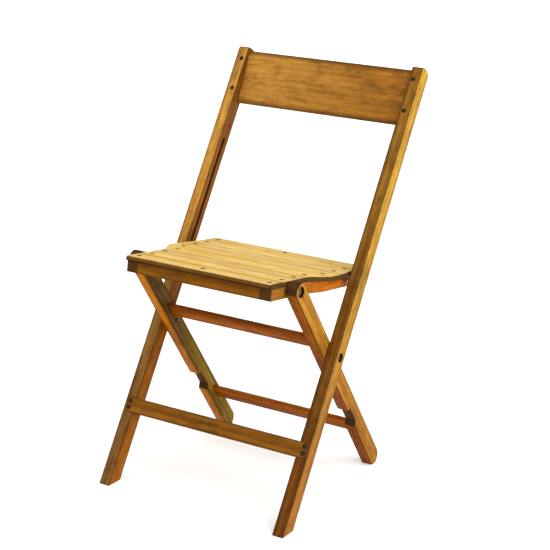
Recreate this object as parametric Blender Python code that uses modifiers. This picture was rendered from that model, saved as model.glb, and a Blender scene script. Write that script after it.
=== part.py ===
"""Wooden folding chair with a slatted seat, at its true size in metres.

Two crossed frames turn on a pair of cross pivots. The stiles run from the front feet to the
top of the back, and the legs run from the seat pivots down to the rear feet. The seat turns on
the tops of the legs, and two slide pins under its rear run in slots in the stiles.

The chair faces -Y and stands on z = 0. Its origin is in the middle of its footprint. Each frame
has an empty on its pivot: there x runs across the chair, y rearwards and z up along the bars.
The seat's own axes are x across, y rearwards along the seat and z out of its top.
"""

import math

import bmesh
import bpy
from mathutils import Vector

# The linkage. The cross pivot is as far from the seat pivot as the seat pivot is from the
# slide pin, so the seat turns twice as far on the legs as the legs turn on the stiles.
STILE_LEAN = math.radians(31.0)
LEG_LEAN = math.radians(35.5)
OPEN_ANGLE = STILE_LEAN + LEG_LEAN
LINK = 0.1815
PIVOT_HEIGHT = 0.284
PIN_OPEN = 2 * LINK * math.cos(OPEN_ANGLE)
PIN_FOLDED = 2 * LINK

# Clearances
GAP = 0.0003
STILE_TO_LEG = 0.0015

# Bars, measured across the chair (width) and front to back (depth)
HALF_WIDTH = 0.205
BAR_WIDTH = 0.022
STILE_DEPTH = 0.0302
LEG_DEPTH = 0.031
STILE_INNER = HALF_WIDTH - BAR_WIDTH
LEG_OUTER = STILE_INNER - STILE_TO_LEG
LEG_INNER = LEG_OUTER - BAR_WIDTH
EDGE_EASE = 0.0012

# Ends of the bars, along each bar from the cross pivot
STILE_TOP = 0.5675
STILE_TOP_FRONT_RADIUS = 0.006
STILE_TOP_REAR_RADIUS = 0.012
LEG_FOOT_RADIUS = 0.017

# Notch in the front of each leg, which takes the stretcher when the chair is folded
NOTCH_TOP = -0.154
NOTCH_BOTTOM = -0.207
NOTCH_SLOPE = 0.004
NOTCH_DEPTH = 0.0092

# Slot in the inner face of each stile
SLOT_WIDTH = 0.0098
SLOT_DEPTH = 0.010
SLOT_END_SPARE = 0.009

# Stretcher, let into the front of the stiles
STRETCHER_CENTRE = -0.1803
STRETCHER_HEIGHT = 0.0295
STRETCHER_THICKNESS = 0.008
STRETCHER_END = 0.200
STRETCHER_SCREWS = (-0.1735, -0.1865)
STRETCHER_SCREW_X = 0.1945

# Back board, housed in a groove in each stile
BOARD_CENTRE = 0.509
BOARD_HEIGHT = 0.107
BOARD_THICKNESS = 0.007
BOARD_SETBACK = 0.0032
BOARD_TILT = math.radians(7.2)
BOARD_HOUSING = 0.014
BOARD_SCREWS = (0.5405, 0.477)
BOARD_SCREW_X = 0.192

# Rails between the legs
LEG_RAIL_THICKNESS = 0.008
LEG_RAIL_SETBACK = 0.003
LEG_RAIL_TENON = 0.008
UPPER_RAIL = (0.0155, 0.0465)
LOWER_RAIL = (-0.2495, -0.2185)

# Seat, measured from the seat pivot: s rearwards, h up
SLAT_COUNT = 8
SLAT_PITCH = 0.0401
SLAT_GAP = 0.0006
SLAT_THICKNESS = 0.009
FIRST_SLAT = -0.0413
SEAT_TOP = 0.0157
SLAT_BOTTOM = SEAT_TOP - SLAT_THICKNESS
SEAT_RAIL_TOP = SLAT_BOTTOM - GAP
SEAT_RAIL_BOTTOM = -0.0150
SEAT_FRONT = FIRST_SLAT - SLAT_PITCH / 2
SEAT_REAR = FIRST_SLAT + (SLAT_COUNT - 0.5) * SLAT_PITCH
FRONT_HALF_WIDTH = 0.1555
SHOULDER_WIDENING = 0.025
SHOULDER = (0.055, 0.112)
REAR_NARROWING = 0.0075
REAR_TAPER = (0.130, 0.210)

# Seat rails
RAIL_OVERHANG = 0.005
SIDE_RAIL_FRONT = SEAT_FRONT + RAIL_OVERHANG
SIDE_RAIL_REAR = SEAT_REAR - 2 * RAIL_OVERHANG
RAIL_CENTRE_FRONT = 0.144
RAIL_CENTRE_SHIFT = 0.012
RAIL_BEND = (0.045, 0.110)
SIDE_RAIL_WIDTH = 0.022
CROSS_RAIL_DEPTH = 0.020
RAIL_STEPS = 24

# Cross pivot rivets and their washers
RIVET_RADIUS = 0.0035
RIVET_HEAD_RADIUS = 0.0072
RIVET_HEAD_THICKNESS = 0.0022
RIVET_END_RADIUS = 0.0048
RIVET_END_THICKNESS = 0.0014
RIVET_RECESS_RADIUS = 0.0085
RIVET_RECESS_DEPTH = 0.0045
WASHER_RADIUS = 0.010

# Seat pivot bolts and the spacers between leg and seat rail
BOLT_RADIUS = 0.004
BOLT_HEAD_RADIUS = 0.0062
BOLT_COLLAR_RADIUS = 0.0070
BOLT_COLLAR_THICKNESS = 0.0013
BOLT_HEAD_THICKNESS = 0.0022
BOLT_CHAMFER = 0.0008
BOLT_RECESS_RADIUS = 0.010
BOLT_RECESS_DEPTH = 0.005
BOLT_END_INSET = 0.002
SPACER_RADIUS = 0.0062

# Slide pins
PIN_RADIUS = 0.004
PIN_IN_RAIL = 0.020
PIN_END_GAP = 0.0015
PIN_CHAMFER = 0.0008

# Screws and nails
SCREW_HEAD_RADIUS = 0.0036
SCREW_HEAD_THICKNESS = 0.0022
SCREW_RADIUS = 0.0018
SCREW_LENGTH = 0.024
STRETCHER_SCREW_LENGTH = 0.020
SCREW_SINK = 0.0010
NAIL_HEAD_RADIUS = 0.0024
NAIL_HEAD_THICKNESS = 0.0012
NAIL_RADIUS = 0.0012
NAIL_LENGTH = 0.022
SHORT_NAIL_LENGTH = 0.0105
NAIL_SINK = 0.0004
FRONT_NAIL_X = 0.1402
REAR_NAIL_X = 0.1540

# Heads of rivets and bolts: shares of the radius that is flat, and of the thickness that the
# crown and the rim take
HEAD_FLAT = 0.7
HEAD_CROWN = 0.1
HEAD_RIM = 0.5

# Fineness of round shapes, and the share of a bar's half depth that its round end's radius is
ARC_STEP = math.radians(15)
FULL_ROUND = 0.999
PIVOT_SIDES = 24
SCREW_SIDES = 12
NAIL_SIDES = 10
SLAT_END_STEPS = 5

# Edges that are eased, and edges that stay sharp on a turned piece
EASED_ANGLE = math.radians(50)
SHARP_ANGLE = math.radians(35)


def material(name, colour, roughness, metallic=0.0):
    """A Principled material of one colour, roughness and metallic value."""
    made = bpy.data.materials.new(name)
    made.use_nodes = True
    shader = made.node_tree.nodes["Principled BSDF"]
    shader.inputs["Base Color"].default_value = (*colour, 1.0)
    shader.inputs["Roughness"].default_value = roughness
    shader.inputs["Metallic"].default_value = metallic
    return made


def collection(name):
    """A new collection in the scene."""
    made = bpy.data.collections.new(name)
    bpy.context.scene.collection.children.link(made)
    return made


def smooth_step(value, start, end):
    """0 before start, 1 after end, and a smooth S between them."""
    t = min(max((value - start) / (end - start), 0.0), 1.0)
    return t * t * (3 - 2 * t)


def seat_half_width(s):
    """Half the seat's width at s: narrow between the leg tops, wide between the stiles."""
    widening = SHOULDER_WIDENING * smooth_step(s, *SHOULDER)
    narrowing = REAR_NARROWING * smooth_step(s, *REAR_TAPER)
    return FRONT_HALF_WIDTH + widening - narrowing


def rail_centre(s):
    """Distance of a side rail's centre line from the middle of the seat at s."""
    return RAIL_CENTRE_FRONT + RAIL_CENTRE_SHIFT * smooth_step(s, *RAIL_BEND)


def rounded_outline(corners):
    """Points of a closed outline through corners (u, v, radius), each corner an arc."""
    points = []
    for index, (u, v, radius) in enumerate(corners):
        corner = Vector((u, v))
        if radius == 0:
            points.append(corner)
            continue
        following = corners[(index + 1) % len(corners)]
        back = (Vector(corners[index - 1][:2]) - corner).normalized()
        ahead = (Vector(following[:2]) - corner).normalized()
        half = back.angle(ahead) / 2
        centre = corner + (back + ahead).normalized() * radius / math.sin(half)
        start = corner + back * radius / math.tan(half) - centre
        turn = math.copysign(math.pi - 2 * half, back.cross(ahead) * -1)
        steps = math.ceil(abs(turn) / ARC_STEP)
        for step in range(steps + 1):
            angle = turn * step / steps
            cos, sin = math.cos(angle), math.sin(angle)
            spoke = Vector((start.x * cos - start.y * sin, start.x * sin + start.y * cos))
            points.append(centre + spoke)
    return points


def slab_mesh(name, points, thickness):
    """A flat outline in the XY plane, filled and given half its thickness on each side."""
    curve = bpy.data.curves.new(name, "CURVE")
    curve.dimensions = "2D"
    curve.fill_mode = "BOTH"
    curve.extrude = thickness / 2
    spline = curve.splines.new("POLY")
    spline.points.add(len(points) - 1)
    for target, point in zip(spline.points, points):
        target.co = (point[0], point[1], 0.0, 1.0)
    spline.use_cyclic_u = True
    helper = bpy.data.objects.new(name, curve)
    bpy.context.scene.collection.objects.link(helper)
    graph = bpy.context.evaluated_depsgraph_get()
    mesh = bpy.data.meshes.new_from_object(helper.evaluated_get(graph))
    bpy.data.objects.remove(helper)
    bpy.data.curves.remove(curve)
    mesh.name = name
    return welded(mesh)


def welded(mesh):
    """The mesh with touching vertices joined and every face pointing out."""
    shape = bmesh.new()
    shape.from_mesh(mesh)
    bmesh.ops.remove_doubles(shape, verts=shape.verts, dist=1e-6)
    bmesh.ops.recalc_face_normals(shape, faces=shape.faces)
    shape.to_mesh(mesh)
    shape.free()
    mesh.materials.clear()
    return mesh


def box_mesh(name, size):
    """A box of the given size, centred on its origin."""
    mesh = bpy.data.meshes.new(name)
    shape = bmesh.new()
    bmesh.ops.create_cube(shape, size=1.0)
    bmesh.ops.scale(shape, vec=size, verts=shape.verts)
    shape.to_mesh(mesh)
    shape.free()
    return mesh


def cylinder_mesh(name, radius, low, high, sides):
    """A cylinder along Z from low to high."""
    mesh = bpy.data.meshes.new(name)
    shape = bmesh.new()
    bmesh.ops.create_cone(
        shape, cap_ends=True, segments=sides, radius1=radius, radius2=radius, depth=high - low
    )
    bmesh.ops.translate(shape, vec=(0, 0, (low + high) / 2), verts=shape.verts)
    shape.to_mesh(mesh)
    shape.free()
    return mesh


def turned_mesh(name, profile, sides, closed=False):
    """A profile (radius, z), running down the outside, turned about Z. A ring's is closed."""
    line = bpy.data.meshes.new(name)
    points = [(radius, 0, z) for radius, z in profile]
    edges = [(i, i + 1) for i in range(len(points) - 1)]
    if closed:
        edges.append((len(points) - 1, 0))
    line.from_pydata(points, edges, [])
    helper = bpy.data.objects.new(name, line)
    bpy.context.scene.collection.objects.link(helper)
    screw = helper.modifiers.new("turn", "SCREW")
    screw.steps = sides
    screw.render_steps = sides
    screw.use_merge_vertices = True
    screw.merge_threshold = 1e-5
    graph = bpy.context.evaluated_depsgraph_get()
    mesh = bpy.data.meshes.new_from_object(helper.evaluated_get(graph))
    bpy.data.objects.remove(helper)
    bpy.data.meshes.remove(line)
    mesh.name = name
    return welded(mesh)


def shade_round(mesh):
    """Smooth shading that stays sharp at real edges."""
    mesh.shade_smooth()
    mesh.set_sharp_from_angle(angle=SHARP_ANGLE)


def add_part(name, mesh, look, parent, location=(0, 0, 0), rotation=(0, 0, 0)):
    """A visible piece of the chair, placed in its parent's frame."""
    if mesh.users or mesh.materials:
        mesh = mesh.copy()
        mesh.materials.clear()
    mesh.materials.append(look)
    part = bpy.data.objects.new(name, mesh)
    PARTS.objects.link(part)
    part.parent = parent
    part.location = location
    part.rotation_euler = rotation
    return part


def add_cutter(name, mesh, parent, location=(0, 0, 0), rotation=(0, 0, 0)):
    """A shape that is only cut from others."""
    cutter = bpy.data.objects.new(name, mesh)
    CUTTERS.objects.link(cutter)
    cutter.parent = parent
    cutter.location = location
    cutter.rotation_euler = rotation
    cutter.hide_render = True
    cutter.display_type = "WIRE"
    return cutter


def ease_edges(part, width=EDGE_EASE):
    """Takes the sharpness off a wooden piece's long edges."""
    bevel = part.modifiers.new("ease", "BEVEL")
    bevel.width = width
    bevel.segments = 1
    bevel.limit_method = "ANGLE"
    bevel.angle_limit = EASED_ANGLE
    bevel.use_clamp_overlap = True


def cut(part, cutter):
    """Cuts one shape from a piece."""
    boolean = part.modifiers.new(cutter.name, "BOOLEAN")
    boolean.operation = "DIFFERENCE"
    boolean.object = cutter
    boolean.solver = "EXACT"


def empty(name, parent, location, rotation):
    """An empty on a pivot."""
    made = bpy.data.objects.new(name, None)
    PARTS.objects.link(made)
    made.parent = parent
    made.location = location
    made.rotation_euler = rotation
    return made


def floor_along(lean, offset):
    """Where a bar's line, offset rearwards across the bar, meets the floor."""
    return -(PIVOT_HEIGHT + offset * math.sin(lean)) / math.cos(lean)


def stile_depth_range():
    """Lowest and highest y of a stile, measured from the cross pivot."""
    sin, cos = math.sin(STILE_LEAN), math.cos(STILE_LEAN)
    front = -STILE_DEPTH / 2
    low = floor_along(-STILE_LEAN, front) * sin + front * cos
    arc_along = STILE_TOP - STILE_TOP_REAR_RADIUS
    arc_offset = STILE_DEPTH / 2 - STILE_TOP_REAR_RADIUS
    return low, arc_along * sin + arc_offset * cos + STILE_TOP_REAR_RADIUS


def frame_rotation(angle):
    """Turns an empty about the line across the chair."""
    return (angle, 0, 0)


def outward(side):
    """Turns a piece made along Z to point out of the chair's left or right side."""
    return (0, side * math.pi / 2, 0)


OUTLINE_ACROSS = (math.pi / 2, 0, math.pi / 2)  # outline (u, v) to (y, z), thickness to x
FACING_FRONT = (math.pi / 2, 0, 0)  # a piece made along Z points forwards
SIDES = (("left", -1), ("right", 1))


def add_stiles():
    """Two long bars, each cut to its foot, rounded at its top, slotted and grooved."""
    half = STILE_DEPTH / 2
    outline = rounded_outline(
        [
            (-half, floor_along(-STILE_LEAN, -half), 0),
            (half, floor_along(-STILE_LEAN, half), 0),
            (half, STILE_TOP, STILE_TOP_REAR_RADIUS),
            (-half, STILE_TOP, STILE_TOP_FRONT_RADIUS),
        ]
    )
    blank = slab_mesh("stile", outline, BAR_WIDTH)
    slot_radius = SLOT_WIDTH / 2
    slot_low = PIN_OPEN - slot_radius
    slot_high = PIN_FOLDED + SLOT_END_SPARE + slot_radius
    slot_corner = slot_radius * FULL_ROUND
    slot_outline = rounded_outline(
        [
            (-slot_radius, slot_low, slot_corner),
            (slot_radius, slot_low, slot_corner),
            (slot_radius, slot_high, slot_corner),
            (-slot_radius, slot_high, slot_corner),
        ]
    )
    slot_shape = slab_mesh("slot", slot_outline, 2 * SLOT_DEPTH)
    recess_floor = HALF_WIDTH - RIVET_RECESS_DEPTH
    hole = cylinder_mesh(
        "stile_hole", RIVET_RADIUS + GAP, LEG_OUTER, HALF_WIDTH, PIVOT_SIDES
    )
    recess = cylinder_mesh(
        "stile_recess", RIVET_RECESS_RADIUS, recess_floor, HALF_WIDTH + GAP, PIVOT_SIDES
    )
    for word, side in SIDES:
        centre = side * (HALF_WIDTH - BAR_WIDTH / 2)
        stile = add_part(
            f"{word}_stile", blank, STILE_WOOD, STILE_FRAME, (centre, 0, 0), OUTLINE_ACROSS
        )
        ease_edges(stile)
        slot = add_cutter(
            f"{word}_slot", slot_shape, STILE_FRAME, (side * STILE_INNER, 0, 0), OUTLINE_ACROSS
        )
        cut(stile, slot)
        cut(stile, add_cutter(f"{word}_stile_hole", hole, STILE_FRAME, rotation=outward(side)))
        cut(stile, add_cutter(f"{word}_stile_recess", recess, STILE_FRAME, rotation=outward(side)))


def add_back_board():
    """A board housed in sloping grooves near the top of both stiles, and its four screws."""
    size = (2 * (STILE_INNER + BOARD_HOUSING - GAP), BOARD_THICKNESS, BOARD_HEIGHT)
    groove_size = (
        2 * (STILE_INNER + BOARD_HOUSING),
        BOARD_THICKNESS + 2 * GAP,
        BOARD_HEIGHT + 2 * GAP,
    )
    place = (0, BOARD_SETBACK, BOARD_CENTRE)
    tilt = frame_rotation(BOARD_TILT)
    board = add_part("back_board", box_mesh("board", size), BACK_WOOD, STILE_FRAME, place, tilt)
    ease_edges(board, EDGE_EASE / 2)
    groove = add_cutter("groove", box_mesh("groove", groove_size), STILE_FRAME, place, tilt)
    for word, _side in SIDES:
        cut(bpy.data.objects[f"{word}_stile"], groove)
    add_screws("back_screw", BOARD_SCREW_X, BOARD_SCREWS, SCREW_LENGTH, board)


def add_stretcher():
    """A board let into the front of both stiles near the feet, flush with them."""
    size = (2 * STRETCHER_END, STRETCHER_THICKNESS, STRETCHER_HEIGHT)
    lap_size = (
        2 * (STRETCHER_END + GAP),
        2 * (STRETCHER_THICKNESS + GAP),
        STRETCHER_HEIGHT + 2 * GAP,
    )
    front = -STILE_DEPTH / 2
    place = (0, front + STRETCHER_THICKNESS / 2, STRETCHER_CENTRE)
    stretcher = add_part(
        "front_stretcher", box_mesh("stretcher", size), STRETCHER_WOOD, STILE_FRAME, place
    )
    ease_edges(stretcher, EDGE_EASE / 2)
    lap = add_cutter("lap", box_mesh("lap", lap_size), STILE_FRAME, (0, front, STRETCHER_CENTRE))
    for word, _side in SIDES:
        cut(bpy.data.objects[f"{word}_stile"], lap)
    add_screws(
        "stretcher_screw", STRETCHER_SCREW_X, STRETCHER_SCREWS, STRETCHER_SCREW_LENGTH, stretcher
    )


def add_screws(name, x, heights, length, held):
    """Countersunk screws driven in from the front of the stiles, through the held board."""
    profile = screw_profile(length, 0)
    mesh = turned_mesh(name, profile, SCREW_SIDES)
    shade_round(mesh)
    hole = turned_mesh(f"{name}_hole", screw_profile(length, GAP), SCREW_SIDES)
    front = -STILE_DEPTH / 2
    for word, side in SIDES:
        for level, height in zip(("upper", "lower"), heights):
            place = (side * x, front + SCREW_SINK, height)
            add_part(
                f"{name}_{word}_{level}", mesh, SCREW_IRON, STILE_FRAME, place, FACING_FRONT
            )
            cutter = add_cutter(
                f"{name}_hole_{word}_{level}", hole, STILE_FRAME, place, FACING_FRONT
            )
            cut(bpy.data.objects[f"{word}_stile"], cutter)
            cut(held, cutter)


def screw_profile(length, clearance):
    """A countersunk screw with its head's face at z = 0; a hole's runs on out of the wood."""
    head = SCREW_HEAD_RADIUS + clearance
    shank = SCREW_RADIUS + clearance
    top = [(0, 0), (head, 0)]
    if clearance:
        top = [(0, 2 * SCREW_SINK), (head, 2 * SCREW_SINK)]
    cone_top = -SCREW_HEAD_THICKNESS / 4 - clearance
    cone_bottom = -SCREW_HEAD_THICKNESS - clearance
    return top + [
        (head, cone_top),
        (shank, cone_bottom),
        (shank, -length - clearance),
        (0, -length - clearance),
    ]


def add_legs():
    """Two bars with a round top, a rounded rear foot, and a notch for the folded stretcher."""
    half = LEG_DEPTH / 2
    notch_floor = -half + NOTCH_DEPTH
    outline = rounded_outline(
        [
            (-half, floor_along(LEG_LEAN, -half), 0),
            (half, floor_along(LEG_LEAN, half), LEG_FOOT_RADIUS),
            (half, LINK + half, half * FULL_ROUND),
            (-half, LINK + half, half * FULL_ROUND),
            (-half, NOTCH_TOP, 0),
            (notch_floor, NOTCH_TOP - NOTCH_SLOPE, 0),
            (notch_floor, NOTCH_BOTTOM + 2 * NOTCH_SLOPE, 0),
            (-half, NOTCH_BOTTOM, 0),
        ]
    )
    blank = slab_mesh("leg", outline, BAR_WIDTH)
    cross_hole = cylinder_mesh(
        "leg_cross_hole", RIVET_RADIUS + GAP, LEG_INNER - GAP, LEG_OUTER + GAP, PIVOT_SIDES
    )
    seat_hole = cylinder_mesh(
        "leg_seat_hole", BOLT_RADIUS + GAP, LEG_INNER - GAP, LEG_OUTER, PIVOT_SIDES
    )
    recess = cylinder_mesh(
        "leg_recess", BOLT_RECESS_RADIUS, LEG_OUTER - BOLT_RECESS_DEPTH, LEG_OUTER + GAP, PIVOT_SIDES
    )
    top = (0, 0, LINK)
    for word, side in SIDES:
        centre = side * (LEG_INNER + BAR_WIDTH / 2)
        leg = add_part(
            f"{word}_leg", blank, LEG_WOOD, LEG_FRAME, (centre, 0, 0), OUTLINE_ACROSS
        )
        ease_edges(leg)
        turn = outward(side)
        cut(leg, add_cutter(f"{word}_leg_cross_hole", cross_hole, LEG_FRAME, rotation=turn))
        cut(leg, add_cutter(f"{word}_leg_seat_hole", seat_hole, LEG_FRAME, top, turn))
        cut(leg, add_cutter(f"{word}_leg_recess", recess, LEG_FRAME, top, turn))


def add_leg_rails():
    """Two flat rails between the legs, their ends housed in the legs' inner faces."""
    half_length = LEG_INNER + LEG_RAIL_TENON
    for name, (low, high) in (("upper_leg_rail", UPPER_RAIL), ("lower_leg_rail", LOWER_RAIL)):
        size = (2 * (half_length - GAP), LEG_RAIL_THICKNESS, high - low)
        pocket = (2 * half_length, LEG_RAIL_THICKNESS + 2 * GAP, high - low + 2 * GAP)
        place = (0, LEG_RAIL_SETBACK, (low + high) / 2)
        rail = add_part(name, box_mesh(name, size), LEG_RAIL_WOOD, LEG_FRAME, place)
        ease_edges(rail, EDGE_EASE / 2)
        mortise = add_cutter(f"{name}_mortise", box_mesh(f"{name}_mortise", pocket), LEG_FRAME, place)
        for word, _side in SIDES:
            cut(bpy.data.objects[f"{word}_leg"], mortise)


def add_cross_pivots():
    """Rivets through stile and leg, and a washer between the two."""
    outer_floor = HALF_WIDTH - RIVET_RECESS_DEPTH
    outer_under = outer_floor + GAP
    outer_top = outer_under + RIVET_HEAD_THICKNESS
    inner_under = LEG_INNER - GAP
    inner_end = inner_under - RIVET_END_THICKNESS
    head = RIVET_HEAD_RADIUS
    end = RIVET_END_RADIUS
    profile = [
        (0, outer_top),
        (head * HEAD_FLAT, outer_top - RIVET_HEAD_THICKNESS * HEAD_CROWN),
        (head, outer_top - RIVET_HEAD_THICKNESS * HEAD_RIM),
        (head, outer_under),
        (RIVET_RADIUS, outer_under),
        (RIVET_RADIUS, inner_under),
        (end, inner_under),
        (end, inner_end + RIVET_END_THICKNESS * HEAD_RIM),
        (end * HEAD_FLAT, inner_end + RIVET_END_THICKNESS * HEAD_CROWN),
        (0, inner_end),
    ]
    rivet = turned_mesh("cross_pivot_rivet", profile, PIVOT_SIDES)
    washer = ring_mesh(
        "cross_pivot_washer", RIVET_RADIUS + GAP, WASHER_RADIUS, LEG_OUTER + GAP, STILE_INNER - GAP
    )
    for mesh in (rivet, washer):
        shade_round(mesh)
    for word, side in SIDES:
        turn = outward(side)
        add_part(f"cross_pivot_rivet_{word}", rivet, PIVOT_STEEL, STILE_FRAME, rotation=turn)
        add_part(f"cross_pivot_washer_{word}", washer, WASHER_STEEL, STILE_FRAME, rotation=turn)


def ring_mesh(name, inner, outer, low, high):
    """A flat ring about Z, from low to high."""
    profile = [(inner, high), (outer, high), (outer, low), (inner, low)]
    return turned_mesh(name, profile, PIVOT_SIDES, closed=True)


def add_seat_rails():
    """Two side rails bent to an S in plan, and a cross rail at the front and at the rear."""
    height = SEAT_RAIL_TOP - SEAT_RAIL_BOTTOM
    middle = (SEAT_RAIL_TOP + SEAT_RAIL_BOTTOM) / 2
    step = (SIDE_RAIL_REAR - SIDE_RAIL_FRONT) / RAIL_STEPS
    stations = [SIDE_RAIL_FRONT + step * i for i in range(RAIL_STEPS + 1)]
    half = SIDE_RAIL_WIDTH / 2
    bolt_hole = cylinder_mesh(
        "rail_bolt_hole",
        BOLT_RADIUS + GAP,
        RAIL_CENTRE_FRONT - 2 * half,
        RAIL_CENTRE_FRONT + 2 * half,
        PIVOT_SIDES,
    )
    pin_inner = rail_centre(LINK) + half - PIN_IN_RAIL
    pin_hole = cylinder_mesh(
        "rail_pin_hole", PIN_RADIUS + GAP, pin_inner - GAP, STILE_INNER, PIVOT_SIDES
    )
    for word, side in SIDES:
        outer = [(side * (rail_centre(s) + half), s) for s in stations]
        inner = [(side * (rail_centre(s) - half), s) for s in reversed(stations)]
        rail = add_part(
            f"seat_rail_{word}",
            slab_mesh(f"seat_rail_{word}", outer + inner, height),
            SEAT_RAIL_WOOD,
            SEAT_FRAME,
            (0, 0, middle),
        )
        ease_edges(rail, EDGE_EASE / 2)
        turn = outward(side)
        cut(rail, add_cutter(f"{word}_rail_bolt_hole", bolt_hole, SEAT_FRAME, rotation=turn))
        cut(rail, add_cutter(f"{word}_rail_pin_hole", pin_hole, SEAT_FRAME, (0, LINK, 0), turn))
    front_centre = SIDE_RAIL_FRONT + CROSS_RAIL_DEPTH / 2
    rear_centre = FIRST_SLAT + (SLAT_COUNT - 1) * SLAT_PITCH
    for name, centre in (("front", front_centre), ("rear", rear_centre)):
        reach = rail_centre(centre) - half - GAP
        size = (2 * reach, CROSS_RAIL_DEPTH, height)
        place = (0, centre, middle)
        rail = add_part(
            f"seat_rail_{name}", box_mesh(f"seat_rail_{name}", size), SEAT_RAIL_WOOD, SEAT_FRAME, place
        )
        ease_edges(rail, EDGE_EASE / 2)


def add_slats():
    """Slats side by side across the rails, their ends following the seat's outline."""
    for index in range(SLAT_COUNT):
        centre = FIRST_SLAT + index * SLAT_PITCH
        low = centre - (SLAT_PITCH - SLAT_GAP) / 2
        step = (SLAT_PITCH - SLAT_GAP) / SLAT_END_STEPS
        stations = [low + step * i for i in range(SLAT_END_STEPS + 1)]
        right = [(seat_half_width(s), s - centre) for s in stations]
        left = [(-x, y) for x, y in reversed(right)]
        slat = add_part(
            f"seat_slat_{index + 1}",
            slab_mesh(f"seat_slat_{index + 1}", right + left, SLAT_THICKNESS),
            SLAT_WOOD,
            SEAT_FRAME,
            (0, centre, SEAT_TOP - SLAT_THICKNESS / 2),
        )
        ease_edges(slat, EDGE_EASE / 2)


def add_seat_nails():
    """A nail in each end of each slat, and one in the middle of the first and the last."""
    long_nail = nail_meshes(NAIL_LENGTH)
    short_nail = nail_meshes(SHORT_NAIL_LENGTH)
    for index in range(SLAT_COUNT):
        centre = FIRST_SLAT + index * SLAT_PITCH
        over_bolt = abs(centre) < BOLT_RADIUS + NAIL_HEAD_RADIUS
        nail, hole = short_nail if over_bolt else long_nail
        x = FRONT_NAIL_X if index < SLAT_COUNT / 2 else REAR_NAIL_X
        slat = f"seat_slat_{index + 1}"
        places = [("left", -x), ("right", x)]
        if index == 0:
            places.append(("front", 0))
        if index == SLAT_COUNT - 1:
            places.append(("rear", 0))
        for word, across in places:
            place = (across, centre, SEAT_TOP - NAIL_SINK)
            add_part(f"slat_nail_{index + 1}_{word}", nail, NAIL_IRON, SEAT_FRAME, place)
            cutter = add_cutter(f"slat_nail_hole_{index + 1}_{word}", hole, SEAT_FRAME, place)
            cut(bpy.data.objects[slat], cutter)
            cut(bpy.data.objects[f"seat_rail_{word}"], cutter)


def nail_meshes(length):
    """A nail of the given length, and the shape of its hole."""
    nail = turned_mesh("nail", nail_profile(length, 0), NAIL_SIDES)
    shade_round(nail)
    return nail, turned_mesh("nail_hole", nail_profile(length, GAP), NAIL_SIDES)


def nail_profile(length, clearance):
    """A flat-headed nail with its head's face at z = 0; a hole's runs on out of the wood."""
    head = NAIL_HEAD_RADIUS + clearance
    shank = NAIL_RADIUS + clearance
    top = 0
    if clearance:
        top = 2 * NAIL_SINK
    under = -NAIL_HEAD_THICKNESS - clearance
    bottom = -length - clearance
    return [(0, top), (head, top), (head, under), (shank, under), (shank, bottom), (0, bottom)]


def add_seat_pivots():
    """Bolts through the leg tops and the side rails, and a spacer between the two."""
    half = SIDE_RAIL_WIDTH / 2
    outer_end = LEG_OUTER - BOLT_END_INSET
    recess_floor = LEG_OUTER - BOLT_RECESS_DEPTH
    collar_low = recess_floor + GAP
    collar_high = collar_low + BOLT_COLLAR_THICKNESS
    inner_face = RAIL_CENTRE_FRONT - half
    head_top = inner_face - GAP
    head_end = head_top - BOLT_HEAD_THICKNESS
    profile = [
        (0, outer_end),
        (BOLT_RADIUS - BOLT_CHAMFER, outer_end),
        (BOLT_RADIUS, outer_end - BOLT_CHAMFER),
        (BOLT_RADIUS, collar_high),
        (BOLT_COLLAR_RADIUS, collar_high),
        (BOLT_COLLAR_RADIUS, collar_low),
        (BOLT_RADIUS, collar_low),
        (BOLT_RADIUS, head_top),
        (BOLT_HEAD_RADIUS, head_top),
        (BOLT_HEAD_RADIUS, head_end + BOLT_HEAD_THICKNESS * HEAD_RIM),
        (BOLT_HEAD_RADIUS * HEAD_FLAT, head_end),
        (0, head_end),
    ]
    bolt = turned_mesh("seat_pivot_bolt", profile, PIVOT_SIDES)
    outer_face = RAIL_CENTRE_FRONT + half
    spacer = ring_mesh(
        "seat_pivot_spacer", BOLT_RADIUS + GAP, SPACER_RADIUS, outer_face + GAP, LEG_INNER - GAP
    )
    for mesh in (bolt, spacer):
        shade_round(mesh)
    for word, side in SIDES:
        turn = outward(side)
        add_part(f"seat_pivot_bolt_{word}", bolt, BOLT_STEEL, SEAT_FRAME, rotation=turn)
        add_part(f"seat_pivot_spacer_{word}", spacer, WASHER_STEEL, SEAT_FRAME, rotation=turn)


def add_slide_pins():
    """Pins driven into the side rails, whose free ends run in the slots of the stiles."""
    inner_end = rail_centre(LINK) + SIDE_RAIL_WIDTH / 2 - PIN_IN_RAIL
    outer_end = STILE_INNER + SLOT_DEPTH - PIN_END_GAP
    profile = [
        (0, outer_end),
        (PIN_RADIUS - PIN_CHAMFER, outer_end),
        (PIN_RADIUS, outer_end - PIN_CHAMFER),
        (PIN_RADIUS, inner_end),
        (0, inner_end),
    ]
    pin = turned_mesh("slide_pin", profile, PIVOT_SIDES)
    shade_round(pin)
    for word, side in SIDES:
        add_part(f"slide_pin_{word}", pin, PIN_STEEL, SEAT_FRAME, (0, LINK, 0), outward(side))


for old in list(bpy.data.objects):
    bpy.data.objects.remove(old)

PARTS = collection("wooden_folding_chair")
CUTTERS = collection("cutters")

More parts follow.
